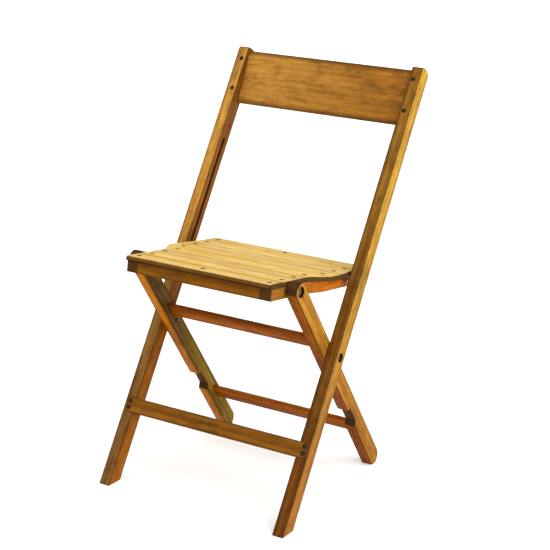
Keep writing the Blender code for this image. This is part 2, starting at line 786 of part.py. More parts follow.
STILE_WOOD = material("stile_wood", (0.40, 0.19, 0.045), 0.42)
BACK_WOOD = material("back_board_wood", (0.37, 0.17, 0.040), 0.40)
STRETCHER_WOOD = material("stretcher_wood", (0.30, 0.13, 0.030), 0.45)
LEG_WOOD = material("leg_wood", (0.42, 0.18, 0.040), 0.42)
LEG_RAIL_WOOD = material("leg_rail_wood", (0.45, 0.17, 0.030), 0.42)
SEAT_RAIL_WOOD = material("seat_rail_wood", (0.35, 0.17, 0.035), 0.45)
SLAT_WOOD = material("seat_slat_wood", (0.56, 0.34, 0.10), 0.38)
PIVOT_STEEL = material("rivet_steel", (0.10, 0.085, 0.07), 0.45, 1.0)
BOLT_STEEL = material("bolt_steel", (0.38, 0.36, 0.33), 0.38, 1.0)
WASHER_STEEL = material("washer_steel", (0.30, 0.28, 0.25), 0.42, 1.0)
PIN_STEEL = material("pin_steel", (0.35, 0.33, 0.30), 0.35, 1.0)
SCREW_IRON = material("screw_iron", (0.06, 0.05, 0.04), 0.55, 1.0)
NAIL_IRON = material("nail_iron", (0.07, 0.055, 0.045), 0.60, 1.0)

LOW_Y, HIGH_Y = stile_depth_range()
STILE_FRAME = empty(
    "stile_frame",
    None,
    (0, -(LOW_Y + HIGH_Y) / 2, PIVOT_HEIGHT),
    frame_rotation(-STILE_LEAN),
)
LEG_FRAME = empty("leg_frame", STILE_FRAME, (0, 0, 0), frame_rotation(OPEN_ANGLE))
SEAT_FRAME = empty(
    "seat_frame", LEG_FRAME, (0, 0, LINK), frame_rotation(math.pi / 2 - 2 * OPEN_ANGLE)
)

add_stiles()
add_back_board()
add_stretcher()
add_legs()
add_leg_rails()
add_cross_pivots()
add_seat_rails()
add_slats()
add_seat_nails()
add_seat_pivots()
add_slide_pins()
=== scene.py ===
"""A wooden folding chair with a slatted seat, finished round its CAD frame.

Lengths are in metres. The chair faces -Y and stands on z = 0. Pieces named right are at +X.
"""

import bmesh
import bpy
import numpy as np
from mathutils import Matrix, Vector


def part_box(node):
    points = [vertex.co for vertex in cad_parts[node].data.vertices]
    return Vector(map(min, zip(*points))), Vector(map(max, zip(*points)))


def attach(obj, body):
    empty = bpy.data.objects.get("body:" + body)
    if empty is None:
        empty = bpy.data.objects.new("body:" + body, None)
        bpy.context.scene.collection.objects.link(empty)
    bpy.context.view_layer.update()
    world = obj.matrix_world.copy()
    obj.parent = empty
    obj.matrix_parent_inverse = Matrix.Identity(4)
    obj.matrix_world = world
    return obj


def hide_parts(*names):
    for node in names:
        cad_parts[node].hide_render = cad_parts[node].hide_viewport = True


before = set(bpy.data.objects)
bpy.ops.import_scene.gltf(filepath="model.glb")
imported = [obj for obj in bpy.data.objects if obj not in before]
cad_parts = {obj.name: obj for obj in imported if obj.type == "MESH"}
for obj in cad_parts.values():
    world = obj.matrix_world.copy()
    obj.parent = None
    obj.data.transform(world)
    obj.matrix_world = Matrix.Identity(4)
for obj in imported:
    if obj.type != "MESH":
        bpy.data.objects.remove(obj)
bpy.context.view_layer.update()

# ---------------------------------------------------------------------------------------------
# Stiles. Two long beech bars, sawn and planed square with their arrises taken off, rounded at
# the top, and grooved inside for the slide pins. Amber varnish, bright on the outside where it
# was handled and dark red-brown inside. Painted shade darkens the groove, and the front faces
# carry painted light and shade.

STILE_LEAN = np.radians(31.0)
ACROSS = np.array((1.0, 0.0, 0.0))
STILE_UP = np.array((0.0, np.sin(STILE_LEAN), np.cos(STILE_LEAN)))
STILE_BACK = np.array((0.0, np.cos(STILE_LEAN), -np.sin(STILE_LEAN)))


def socket_in(tree, made, name, value):
    """Links a socket to an input, or sets the input to a value."""
    if isinstance(value, bpy.types.NodeSocket):
        tree.links.new(value, made.inputs[name])
    else:
        made.inputs[name].default_value = value


def maths(tree, operation, first, second=0.0, third=0.0, clamp=False):
    """One Math node's result."""
    made = tree.nodes.new("ShaderNodeMath")
    made.operation = operation
    made.use_clamp = clamp
    for index, value in enumerate((first, second, third)):
        socket_in(tree, made, index, value)
    return made.outputs[0]


def vector_maths(tree, operation, first, second=(0.0, 0.0, 0.0)):
    """One Vector Math node's result."""
    made = tree.nodes.new("ShaderNodeVectorMath")
    made.operation = operation
    socket_in(tree, made, 0, first)
    socket_in(tree, made, 1, second)
    return made.outputs["Value" if operation in ("DOT_PRODUCT", "DISTANCE") else "Vector"]


def noise(tree, vector, scale, detail, roughness, output="Fac"):
    """A noise pattern on the given coordinates."""
    made = tree.nodes.new("ShaderNodeTexNoise")
    socket_in(tree, made, "Vector", vector)
    made.inputs["Scale"].default_value = scale
    made.inputs["Detail"].default_value = detail
    made.inputs["Roughness"].default_value = roughness
    return made.outputs[output]


def fade(tree, value, start, end):
    """0 at start, 1 at end, and a smooth S between them."""
    made = tree.nodes.new("ShaderNodeMapRange")
    made.interpolation_type = "SMOOTHSTEP"
    for index, part in enumerate((value, start, end, 0.0, 1.0)):
        socket_in(tree, made, index, part)
    return made.outputs[0]


def mixed(tree, amount, first, second, blend="MIX"):
    """Two colours mixed by an amount."""
    made = tree.nodes.new("ShaderNodeMix")
    made.data_type = "RGBA"
    made.blend_type = blend
    made.clamp_factor = True
    for name, value in (("Factor_Float", amount), ("A_Color", first), ("B_Color", second)):
        found = next(s for s in made.inputs if s.identifier == name)
        if isinstance(value, bpy.types.NodeSocket):
            tree.links.new(value, found)
        else:
            found.default_value = value if name == "Factor_Float" else (*value, 1.0)
    return next(s for s in made.outputs if s.identifier == "Result_Color")


def new_group(name, numbers, colours, vectors, outputs):
    """An empty shader node group with inputs, each with the value it has if nothing sets it."""
    tree = bpy.data.node_groups.new(name, "ShaderNodeTree")
    for kind, inputs in (("Float", numbers), ("Color", colours), ("Vector", vectors)):
        for label, value in inputs.items():
            made = tree.interface.new_socket(
                name=label, in_out="INPUT", socket_type=f"NodeSocket{kind}"
            )
            made.default_value = (*value, 1.0) if kind == "Color" else value
    for label in outputs:
        kind = "Color" if label == "Color" else "Float"
        tree.interface.new_socket(name=label, in_out="OUTPUT", socket_type=f"NodeSocket{kind}")
    return tree, tree.nodes.new("NodeGroupInput"), tree.nodes.new("NodeGroupOutput")


# The patterns' scales, twice across the grain and once along it, and how far the grain wanders.
STREAK_SCALE = (85.0, 85.0, 2.4)
FINE_SCALE = (420.0, 420.0, 7.0)
PORE_SCALE = (900.0, 900.0, 26.0)
RING_SCALE = (1.0, 1.0, 0.07)
BLOTCH_SCALE = (1.0, 1.0, 0.40)
SPECK_SCALE = (1.0, 1.0, 0.60)
GRAIN_BEND = (0.012, 0.012, 0.0)
PORE_BROWN = (0.085, 0.036, 0.006)
SPECK_BROWN = (0.035, 0.015, 0.004)
IRON_BLACK = (0.014, 0.007, 0.003)


def make_varnished_wood():
    """Planed wood under old varnish, on a piece's own coordinates with Z along the grain.

    Growth rings and long streaks mix a pale and a deep colour, pores darken it in fine lines,
    and stain lies in blotches and specks. The distance to the nearest edge is the middle one
    of the distances to the three pairs of faces, and the edge colour follows it in a ragged
    line; where all three are over a millimetre, the wood is inside a slot or a notch, and
    painted shade darkens it there. End grain and the inside face each have a tone of their
    own; the front face takes a tone of painted light and shade, the lower end is multiplied
    by a tone that darkens it, and iron stains it.
    """
    white, none = (1.0, 1.0, 1.0), (0.0, 0.0, 0.0)
    tree, given, result = new_group(
        "varnished_wood",
        {
            "Seed": 0.0, "Streak": 0.62, "Stain Amount": 0.5, "Edge Amount": 0.5,
            "Edge Reach": 0.003, "Cut Amount": 0.0, "Iron Stain": 0.0,
        },
        {
            "Pale": white, "Deep": white, "Stain": white, "Edge": white, "End": white,
            "Inside": white, "Inside Low": white, "Front": white, "Lower": white,
        },
        {
            "Vector": none, "Normal": none, "Grain Axis": none, "Half Size": white,
            "Inside Axis": none, "Front Axis": none,
        },
        ("Color", "Roughness", "Height"),
    )
    get = given.outputs
    place = get["Vector"]
    shift = tree.nodes.new("ShaderNodeCombineXYZ")
    for axis, factor in enumerate((0.37, 0.53, 0.71)):
        socket_in(tree, shift, axis, maths(tree, "MULTIPLY", get["Seed"], factor))
    own = vector_maths(tree, "ADD", place, shift.outputs[0])
    bend = noise(tree, own, 5.0, 2.0, 0.5, "Color")
    bend = vector_maths(tree, "SUBTRACT", bend, (0.5, 0.5, 0.5))
    bend = vector_maths(tree, "MULTIPLY", bend, GRAIN_BEND)
    bent = vector_maths(tree, "ADD", own, bend)

    streak = noise(tree, vector_maths(tree, "MULTIPLY", bent, STREAK_SCALE), 1.0, 5.0, 0.6)
    streak = fade(tree, streak, 0.38, 0.64)
    fine = noise(tree, vector_maths(tree, "MULTIPLY", bent, FINE_SCALE), 1.0, 3.0, 0.6)
    rings = tree.nodes.new("ShaderNodeTexWave")
    rings.wave_type = "RINGS"
    rings.rings_direction = "Z"
    around = vector_maths(tree, "MULTIPLY", bent, RING_SCALE)
    for name, value in (
        ("Vector", around), ("Scale", 46.0), ("Distortion", 5.0), ("Detail", 3.0),
        ("Detail Scale", 9.0), ("Detail Roughness", 0.6),
    ):
        socket_in(tree, rings, name, value)
    pores = noise(tree, vector_maths(tree, "MULTIPLY", bent, PORE_SCALE), 1.0, 2.0, 0.5)
    pores = fade(tree, pores, 0.56, 0.70)
    drawn = vector_maths(tree, "MULTIPLY", own, BLOTCH_SCALE)
    blotch = fade(tree, noise(tree, drawn, 24.0, 5.0, 0.66), 0.42, 0.72)
    mottle = fade(tree, noise(tree, drawn, 95.0, 4.0, 0.65), 0.44, 0.66)
    cells = tree.nodes.new("ShaderNodeTexVoronoi")
    socket_in(tree, cells, "Vector", vector_maths(tree, "MULTIPLY", own, SPECK_SCALE))
    cells.inputs["Scale"].default_value = 75.0
    parted = tree.nodes.new("ShaderNodeSeparateColor")
    socket_in(tree, parted, 0, cells.outputs["Color"])
    some = fade(tree, parted.outputs[0], 0.72, 0.80)
    specks = maths(tree, "MULTIPLY", fade(tree, cells.outputs["Distance"], 0.14, 0.03), some)

    near = vector_maths(tree, "SUBTRACT", get["Half Size"], vector_maths(tree, "ABSOLUTE", place))
    sides = tree.nodes.new("ShaderNodeSeparateXYZ")
    socket_in(tree, sides, 0, near)
    least = maths(tree, "MINIMUM", sides.outputs[0], sides.outputs[1])
    most = maths(tree, "MAXIMUM", sides.outputs[0], sides.outputs[1])
    middle = maths(tree, "MAXIMUM", least, maths(tree, "MINIMUM", most, sides.outputs[2]))
    ragged = noise(tree, own, 120.0, 4.0, 0.65)
    reach = maths(tree, "MULTIPLY", get["Edge Reach"], maths(tree, "ADD", ragged, 0.5))
    edge = fade(tree, middle, reach, maths(tree, "MULTIPLY", reach, 0.15))
    # Painted shade: points over a millimetre inside the bar's box lie on the floor of a slot or
    # notch.
    cut = fade(tree, maths(tree, "MINIMUM", least, sides.outputs[2]), 0.0003, 0.0012)

    facing = vector_maths(tree, "DOT_PRODUCT", get["Normal"], get["Grain Axis"])
    end = fade(tree, maths(tree, "ABSOLUTE", facing), 0.35, 0.65)
    inward = vector_maths(tree, "DOT_PRODUCT", get["Normal"], get["Inside Axis"])
    inward = fade(tree, inward, 0.5, 0.9)
    forward = vector_maths(tree, "DOT_PRODUCT", get["Normal"], get["Front Axis"])
    forward = fade(tree, forward, 0.5, 0.9)
    along = tree.nodes.new("ShaderNodeSeparateXYZ")
    socket_in(tree, along, 0, vector_maths(tree, "DIVIDE", place, get["Half Size"]))
    low = fade(tree, along.outputs[2], 0.75, -0.85)

    share = maths(tree, "MULTIPLY", streak, get["Streak"])
    share = maths(tree, "MULTIPLY_ADD", rings.outputs["Fac"], 0.28, share)
    share = maths(tree, "MULTIPLY_ADD", fine, 0.30, share)
    share = maths(tree, "SUBTRACT", share, 0.15, clamp=True)
    seen = mixed(tree, share, get["Pale"], get["Deep"])
    seen = mixed(tree, maths(tree, "MULTIPLY", pores, 0.45), seen, PORE_BROWN)
    dirt = maths(tree, "MULTIPLY_ADD", mottle, 0.45, maths(tree, "MULTIPLY", blotch, 0.60))
    seen = mixed(tree, maths(tree, "MULTIPLY", dirt, get["Stain Amount"]), seen, get["Stain"])
    seen = mixed(tree, maths(tree, "MULTIPLY", specks, 0.60), seen, SPECK_BROWN)
    seen = mixed(tree, maths(tree, "MULTIPLY", edge, get["Edge Amount"]), seen, get["Edge"])
    inside = mixed(tree, low, get["Inside"], get["Inside Low"])
    seen = mixed(tree, inward, seen, inside, "MULTIPLY")
    # Painted light and shade: faces towards the front axis are multiplied by the piece's front
    # tone.
    seen = mixed(tree, forward, seen, get["Front"], "MULTIPLY")
    # Towards the lower end the colour is multiplied by the lower tone: painted shade on the back
    # board and side rails, and darker towards the feet on the stiles and legs.
    seen = mixed(tree, low, seen, get["Lower"], "MULTIPLY")
    seen = mixed(tree, maths(tree, "MULTIPLY", end, 0.97), seen, get["End"])
    # Painted shade in slots and notches, in the end-grain colour.
    seen = mixed(tree, maths(tree, "MULTIPLY", cut, get["Cut Amount"]), seen, get["End"])
    seen = mixed(tree, get["Iron Stain"], seen, IRON_BLACK)
    socket_in(tree, result, "Color", seen)

    rough = maths(tree, "MULTIPLY_ADD", streak, 0.10, 0.34)
    rough = maths(tree, "MULTIPLY_ADD", dirt, 0.12, rough)
    rough = maths(tree, "MULTIPLY_ADD", edge, 0.12, rough)
    rough = maths(tree, "MULTIPLY_ADD", end, 0.25, rough)
    socket_in(tree, result, "Roughness", rough)

    height = maths(tree, "MULTIPLY_ADD", streak, 0.25, maths(tree, "MULTIPLY", fine, 0.35))
    height = maths(tree, "MULTIPLY_ADD", pores, -0.30, height)
    height = maths(tree, "MULTIPLY_ADD", specks, -0.8, height)
    height = maths(tree, "MULTIPLY_ADD", noise(tree, own, 34.0, 3.0, 0.5), 0.9, height)
    socket_in(tree, result, "Height", height)
    return tree


VARNISHED_WOOD = make_varnished_wood()


def extent(node, along, rearward):
    """A piece's own axes, its middle and its half size along them.

    The axes are the columns of a matrix: rearward x along, rearward, along. The node's points
    times that matrix are its points along the axes.
    """
    axes = np.stack([np.cross(rearward, along), rearward, along], axis=1)
    points = np.array([v.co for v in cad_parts[node].data.vertices]) @ axes
    low, high = points.min(0), points.max(0)
    return axes, axes @ ((low + high) / 2), (high - low) / 2


def wood_look(name, placed, seed, spots=(), **tones):
    """Varnished wood for one piece, its pattern centred on the piece and turned to its grain.

    Spots are places stained by iron, each with its radius. A tone is an input of the wood.
    """
    axes, centre, half = placed
    look = bpy.data.materials.new(name)
    look.use_nodes = True
    tree = look.node_tree
    shader = tree.nodes["Principled BSDF"]
    source = tree.nodes.new("ShaderNodeTexCoord")
    place = tree.nodes.new("ShaderNodeMapping")
    place.vector_type = "TEXTURE"
    place.inputs["Location"].default_value = centre
    place.inputs["Rotation"].default_value = Matrix(axes.tolist()).to_euler()
    tree.links.new(source.outputs["Object"], place.inputs["Vector"])
    wood = tree.nodes.new("ShaderNodeGroup")
    wood.node_tree = VARNISHED_WOOD
    for label, value in (
        ("Vector", place.outputs[0]), ("Normal", source.outputs["Normal"]),
        ("Grain Axis", tuple(axes[:, 2])), ("Half Size", tuple(half)), ("Seed", seed),
    ):
        socket_in(tree, wood, label, value)
    for label, value in tones.items():
        socket = wood.inputs[label.replace("_", " ").title()]
        socket.default_value = (*value, 1.0) if socket.type == "RGBA" else value
    stained = 0.0
    for spot, radius in spots:
        apart = vector_maths(tree, "DISTANCE", source.outputs["Object"], tuple(spot))
        stained = maths(tree, "MAXIMUM", stained, fade(tree, apart, radius, 0.75 * radius))
    socket_in(tree, wood, "Iron Stain", stained)
    relief = tree.nodes.new("ShaderNodeBump")
    relief.inputs["Strength"].default_value = 0.35
    relief.inputs["Distance"].default_value = 0.0006
    tree.links.new(wood.outputs["Height"], relief.inputs["Height"])
    tree.links.new(wood.outputs["Color"], shader.inputs["Base Color"])
    tree.links.new(wood.outputs["Roughness"], shader.inputs["Roughness"])
    tree.links.new(relief.outputs["Normal"], shader.inputs["Normal"])
    shader.inputs["Specular IOR Level"].default_value = 0.02
    shader.inputs["Coat Weight"].default_value = 0.03
    shader.inputs["Coat Roughness"].default_value = 0.22
    return look


def middle_of(node):
    """The middle of a CAD piece's box."""
    low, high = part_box(node)
    return np.array((low + high) / 2)


def front_of(node, forwards):
    """The middle of a CAD piece's foremost face in a direction."""
    points = np.array([v.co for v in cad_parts[node].data.vertices])
    reach = (points - middle_of(node)) @ forwards
    return middle_of(node) + np.array(forwards) * reach.max()


def dress(mesh, look):
    """Gives a mesh one look and no other."""
    mesh.materials.clear()
    mesh.materials.append(look)


def add_piece(name, mesh, look, body, slot, *nodes):
    """Puts a new piece in the scene: its look, the body it rides on and what it stands for."""
    dress(mesh, look)
    piece = bpy.data.objects.new(name, mesh)
    bpy.context.scene.collection.objects.link(piece)
    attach(piece, body)
    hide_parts(*nodes)


def eased_copy(node, width):
    """A copy of a CAD piece with its points joined, flat faces made whole and edges rounded."""
    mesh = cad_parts[node].data.copy()
    shape = bmesh.new()
    shape.from_mesh(mesh)
    bmesh.ops.remove_doubles(shape, verts=shape.verts, dist=1e-6)
    bmesh.ops.dissolve_limit(
        shape, angle_limit=np.radians(0.5), verts=shape.verts, edges=shape.edges
    )
    sharp = [e for e in shape.edges if e.is_manifold and e.calc_face_angle(0.0) > np.radians(28)]
    bmesh.ops.bevel(
        shape, geom=sharp, offset=width, offset_type="OFFSET", segments=2, profile=0.5,
        affect="EDGES", clamp_overlap=True,
    )
    bmesh.ops.triangulate(shape, faces=[f for f in shape.faces if len(f.verts) > 4])
    shape.to_mesh(mesh)
    shape.free()
    mesh.shade_smooth()
    mesh.set_sharp_from_angle(angle=np.radians(30))
    mesh.name = f"{node}_wood"
    return mesh


STILE_OUTER_FACE = 0.2015
STILE_ARRIS = 0.0005
BACK_SCREW_STAIN = 0.0052
RIVET_STAIN = 0.0106
# The front tones are painted light and shade on the stiles' front faces, darker on the right stile
# than on the left. The inside tones are the wood's darker inner varnish, and the lower tones darken
# the stiles towards the feet.
STILE_TONES = {
    "left": dict(
        inside=(0.29, 0.17, 0.22), inside_low=(1.30, 0.80, 0.22), front=(0.74, 0.66, 1.15),
        lower=(0.37, 0.33, 0.46),
    ),
    "right": dict(
        inside=(0.40, 0.30, 0.30), inside_low=(0.50, 0.35, 0.30), front=(0.40, 0.34, 0.45),
        lower=(0.58, 0.42, 0.35),
    ),
}
for word, side, seed in (("left", -1, 1.3), ("right", 1, 4.1)):
    node = f"{word}_stile"
    screws = [
        (front_of(f"back_screw_{word}_{level}", -STILE_BACK), BACK_SCREW_STAIN)
        for level in ("upper", "lower")
    ]
    pivot = middle_of(f"cross_pivot_rivet_{word}") * (0, 1, 1) + side * STILE_OUTER_FACE * ACROSS
    # Painted shade darkens the groove for the slide pins.
    look = wood_look(
        f"stile_wood_{word}", extent(node, STILE_UP, STILE_BACK), seed,
        spots=[*screws, (pivot, RIVET_STAIN)],
        pale=(0.66, 0.375, 0.034), deep=(0.33, 0.142, 0.012), cut_amount=0.96,
        stain=(0.090, 0.036, 0.004), stain_amount=0.66,
        edge=(0.09, 0.037, 0.005), edge_amount=0.68, end=(0.040, 0.017, 0.005),
        inside_axis=-side * ACROSS, front_axis=-STILE_BACK, **STILE_TONES[word],
    )
    bar = eased_copy(node, STILE_ARRIS)
    add_piece(f"{node}_bar", bar, look, "stile_frame", "stile_wood", node)

# ---------------------------------------------------------------------------------------------
# Back board. One thin flat-sawn board housed in sloping grooves in both stiles, a little more
# upright than they are. Its stain is mottled and darker along its edges, and painted shade
# darkens it towards the right.


def rounded_section(wide, deep, radius, arc_steps=3, top_stations=None):
    """A closed section: a rectangle with rounded corners, and each point's way outwards.

    Four quarter circles, starting at the high corner and running over the top, joined by
    straight sides with a point in the middle of each. Returns points (n, 2) and outward
    normals (n, 2). The radius may be one for each corner, and the top side may have stations.
    """
    radii = np.broadcast_to(radius, 4)
    signs = np.array(((1, 1), (-1, 1), (-1, -1), (1, -1)))
    centres = signs * (np.array((wide, deep)) / 2 - radii[:, None])
    points, normals = [], []
    for index, (centre, bend) in enumerate(zip(centres, radii)):
        angle = np.radians(90.0 * index + np.linspace(0.0, 90.0, arc_steps + 1))
        ray = np.stack([np.cos(angle), np.sin(angle)], axis=1)
        points.append(centre + bend * ray)
        normals.append(ray)
        following = (index + 1) % 4
        here, there = points[-1][-1], centres[following] + radii[following] * ray[-1]
        share = np.array((0.5,))
        if index == 0 and top_stations is not None:
            share = (here[0] - np.sort(top_stations)[::-1]) / (here[0] - there[0])
        points.append(here + share[:, None] * (there - here))
        normals.append(np.repeat(ray[-1:], len(share), axis=0))
    return np.concatenate(points), np.concatenate(normals)


def closed_skin(name, points, faces, crease):
    """A smooth mesh with its faces outwards, sharp where they turn by more than the crease."""
    mesh = bpy.data.meshes.new(name)
    mesh.from_pydata(points.tolist(), [], faces)
    shape = bmesh.new()
    shape.from_mesh(mesh)
    bmesh.ops.recalc_face_normals(shape, faces=shape.faces)
    shape.to_mesh(mesh)
    shape.free()
    mesh.shade_smooth()
    mesh.set_sharp_from_angle(angle=np.radians(crease))
    return mesh


def ring_quads(count, around, first=0):
    """Quads between neighbouring rings of points, whose numbers run on from the first."""
    ring, spot = np.meshgrid(np.arange(count - 1), np.arange(around), indexing="ij")
    here, after = first + ring * around, (spot + 1) % around
    quads = [here + spot, here + after, here + around + after, here + around + spot]
    return np.stack(quads, axis=-1).reshape(-1, 4).tolist()


def lofted(name, rings):
    """A closed skin over rings (n, m, 3): quads between rings, and a face over each end."""
    count, around = rings.shape[:2]
    last = (count - 1) * around
    ends = [list(range(around))[::-1], list(range(last, last + around))]
    return closed_skin(name, rings.reshape(-1, 3), ring_quads(count, around) + ends, crease=40)


def end_stations(length, radius, stations):
    """Places along a bar and how far the section draws in there.

    Each end is a quarter circle: at angle t from the flat, the section draws in by
    radius (1 - cos t) and lies radius (1 - sin t) short of the end.
    """
    angle = np.radians(np.linspace(90.0, 0.0, 4))
    short, drawn = radius * (1 - np.sin(angle)), radius * (1 - np.cos(angle))
    inner = stations[(stations > -length / 2 + radius) & (stations < length / 2 - radius)]
    places = np.concatenate([-length / 2 + short, inner, (length / 2 - short)[::-1]])
    draws = np.concatenate([drawn, np.zeros(len(inner)), drawn[::-1]])
    return places, draws


def worn_bar(name, placed, radius, wear, turns, stations=None, top_stations=None, sink=None):
    """A straight bar or board with softly worn edges.

    The section is a rounded rectangle, carried along the bar. Its corners draw in by wear
    times a slow wave along the bar, a sum of two sines. Sink lowers points of the rear or
    front face at given places.
    """
    axes, centre, half = placed
    length = 2 * half[2]
    if stations is None:
        stations = np.linspace(-length / 2, length / 2, 34)
    section, out = rounded_section(2 * half[0], 2 * half[1], radius, top_stations=top_stations)
    places, draws = end_stations(length, radius, stations)
    corner = 4 * (out[:, 0] * out[:, 1]) ** 2
    wave = 0.5 + 0.25 * np.sin(turns * places + half[1]) + 0.25 * np.sin(2.7 * turns * places + 1)
    inward = draws[:, None] + wear * wave[:, None] * corner[None]
    across = section[None] - inward[..., None] * out[None]
    local = np.concatenate(
        [across, np.broadcast_to(places[:, None, None], (*across.shape[:2], 1))], axis=2
    )
    if sink is not None:
        local = sink(local)
    return lofted(name, local @ axes.T + centre)


BOARD_TILT = STILE_LEAN - np.radians(7.2)
BOARD_BACK = np.array((0.0, np.cos(BOARD_TILT), -np.sin(BOARD_TILT)))
board_place = extent("back_board", -ACROSS, BOARD_BACK)
# The lower tone is painted shade, darker towards the board's right end.
board_look = wood_look(
    "back_board_wood", board_place, seed=7.7,
    pale=(0.44, 0.212, 0.034), deep=(0.26, 0.108, 0.014), lower=(0.74, 0.64, 0.50),
    stain=(0.100, 0.038, 0.006), stain_amount=0.72,
    edge=(0.07, 0.028, 0.005), edge_amount=0.72, edge_reach=0.011, end=(0.07, 0.03, 0.008),
    streak=0.36,
)
board = worn_bar("back_board_panel", board_place, radius=0.0011, wear=0.0004, turns=31.0)
add_piece("back_board_panel", board, board_look, "stile_frame", "back_board_wood", "back_board")

# ---------------------------------------------------------------------------------------------
# Front stretcher. A flat board let into the front of both stiles and held by two screws at
# each end. Its colour is darker than the rest, with its arrises rubbed.

SINK_RADIUS = 0.0044
SINK_DEPTH = 0.0018
STRETCHER_SCREW_STAIN = 0.0054
stretcher_place = extent("front_stretcher", ACROSS, -STILE_BACK)
stretcher_axes, stretcher_middle, stretcher_half = stretcher_place
screw_faces = [
    front_of(f"stretcher_screw_{word}_{level}", -STILE_BACK)
    for word in ("left", "right") for level in ("upper", "lower")
]
screw_spots = np.array([(face - stretcher_middle) @ stretcher_axes for face in screw_faces])


def sunk_at_screws(local):
    """Sinks the front face in a shallow flat-bottomed cone round each screw."""
    front = local[..., 1] > 0.98 * stretcher_half[1]
    reach = np.hypot(
        local[..., 2, None] - screw_spots[:, 2], local[..., 0, None] - screw_spots[:, 0]
    ).min(-1)
    local[..., 1] -= front * SINK_DEPTH * np.clip(1.6 * (1 - reach / SINK_RADIUS), 0, 1)
    return local


across_a_screw = np.linspace(-0.005, 0.005, 21)
screw_rows = [across_a_screw + x for x in np.unique(screw_spots[:, 2].round(4))]
stretcher = worn_bar(
    "front_stretcher_board", stretcher_place, radius=0.0009, wear=0.0004, turns=27.0,
    stations=np.sort(np.concatenate([np.linspace(-0.19, 0.19, 40), *screw_rows])),
    top_stations=np.linspace(-0.0125, 0.0125, 46), sink=sunk_at_screws,
)
stretcher_look = wood_look(
    "stretcher_wood", stretcher_place, seed=11.2,
    spots=[(face, STRETCHER_SCREW_STAIN) for face in screw_faces],
    pale=(0.23, 0.085, 0.006), deep=(0.11, 0.038, 0.003), streak=0.60,
    stain=(0.050, 0.020, 0.004), stain_amount=0.75,
    edge=(0.05, 0.022, 0.005), edge_amount=0.60, edge_reach=0.004, end=(0.08, 0.035, 0.012),
)
add_piece(
    "front_stretcher_board", stretcher, stretcher_look, "stile_frame", "stretcher_wood",
    "front_stretcher",
)

# ---------------------------------------------------------------------------------------------
# Screws. Countersunk slotted wood screws of blackened iron, two through each stile into the
# back board and two through each end of the stretcher, their heads just under the surface.


def make_aged_metal():
    """Steel dulled by handling: a bare colour, a dark one in blotches and rust in specks."""
    none = (0.0, 0.0, 0.0)
    tree, given, result = new_group(
        "aged_metal", {"Rust Amount": 0.5, "Polish": 0.4},
        {"Bare": none, "Dark": none, "Rust": none}, {"Vector": none},
        ("Color", "Roughness", "Metallic", "Height"),
    )
    get = given.outputs
    cloud = fade(tree, noise(tree, get["Vector"], 420.0, 4.0, 0.6), 0.38, 0.66)
    grit = noise(tree, get["Vector"], 2600.0, 3.0, 0.6)
    rust = fade(tree, noise(tree, get["Vector"], 900.0, 5.0, 0.7), 0.48, 0.66)
    rust = maths(tree, "MULTIPLY", rust, get["Rust Amount"])
    seen = mixed(tree, cloud, get["Bare"], get["Dark"])
    seen = mixed(tree, rust, seen, get["Rust"])
    rough = maths(tree, "MULTIPLY_ADD", cloud, 0.18, get["Polish"])
    rough = maths(tree, "MULTIPLY_ADD", rust, 0.30, rough)
    socket_in(tree, result, "Color", seen)
    socket_in(tree, result, "Roughness", rough)
    socket_in(tree, result, "Metallic", maths(tree, "SUBTRACT", 1.0, rust, clamp=True))
    socket_in(tree, result, "Height", maths(tree, "MULTIPLY_ADD", rust, 0.6, grit))
    return tree


AGED_METAL = make_aged_metal()


def metal_look(name, bare, dark, rust, rust_amount, polish):
    """Aged metal on the chair's own coordinates."""
    look = bpy.data.materials.new(name)
    look.use_nodes = True
    tree = look.node_tree
    shader = tree.nodes["Principled BSDF"]
    source = tree.nodes.new("ShaderNodeTexCoord")
    metal = tree.nodes.new("ShaderNodeGroup")
    metal.node_tree = AGED_METAL
    for label, value in (
        ("Vector", source.outputs["Object"]), ("Bare", (*bare, 1.0)), ("Dark", (*dark, 1.0)),
        ("Rust", (*rust, 1.0)), ("Rust Amount", rust_amount), ("Polish", polish),
    ):
        socket_in(tree, metal, label, value)
    relief = tree.nodes.new("ShaderNodeBump")
    relief.inputs["Strength"].default_value = 0.4
    relief.inputs["Distance"].default_value = 0.0001
    tree.links.new(metal.outputs["Height"], relief.inputs["Height"])
    for label in ("Roughness", "Metallic"):
        tree.links.new(metal.outputs[label], shader.inputs[label])
    tree.links.new(metal.outputs["Color"], shader.inputs["Base Color"])
    tree.links.new(relief.outputs["Normal"], shader.inputs["Normal"])
    return look


def turned(name, place, outwards, up, profile, sides, relief=None):
    """A round piece: a profile (radius, height) turned about its axis, closed at both poles.

    The profile starts on the axis at the face and ends on it at the foot. Relief moves points
    along the axis by a function of where they lie across it.
    """
    radius, height = np.array(profile).T
    angle = np.linspace(0.0, 2 * np.pi, sides, endpoint=False)
    u = radius[1:-1, None] * np.cos(angle)
    v = radius[1:-1, None] * np.sin(angle)
    h = np.broadcast_to(height[1:-1, None], u.shape).copy()
    first, final = height[0], height[-1]
    if relief is not None:
        h = h + relief(u, v, h)
        first = first + float(relief(np.zeros(1), np.zeros(1), np.array([first]))[0])
    across = np.cross(up, outwards)
    axes = np.stack([across, up, outwards], axis=0)
    body = np.stack([u, v, h], axis=-1).reshape(-1, 3)
    points = np.concatenate([[[0, 0, first]], body, [[0, 0, final]]]) @ axes + place
    rows = len(radius) - 2
    spots = np.arange(sides)
    nexts = (spots + 1) % sides
    top = np.stack([np.zeros(sides, int), 1 + spots, 1 + nexts], -1)
    foot = 1 + (rows - 1) * sides
    pole = np.full(sides, 1 + rows * sides)
    bottom = np.stack([foot + spots, pole, foot + nexts], -1)
    faces = top.tolist() + ring_quads(rows, sides, first=1) + bottom.tolist()
    return closed_skin(name, points, faces, crease=35)


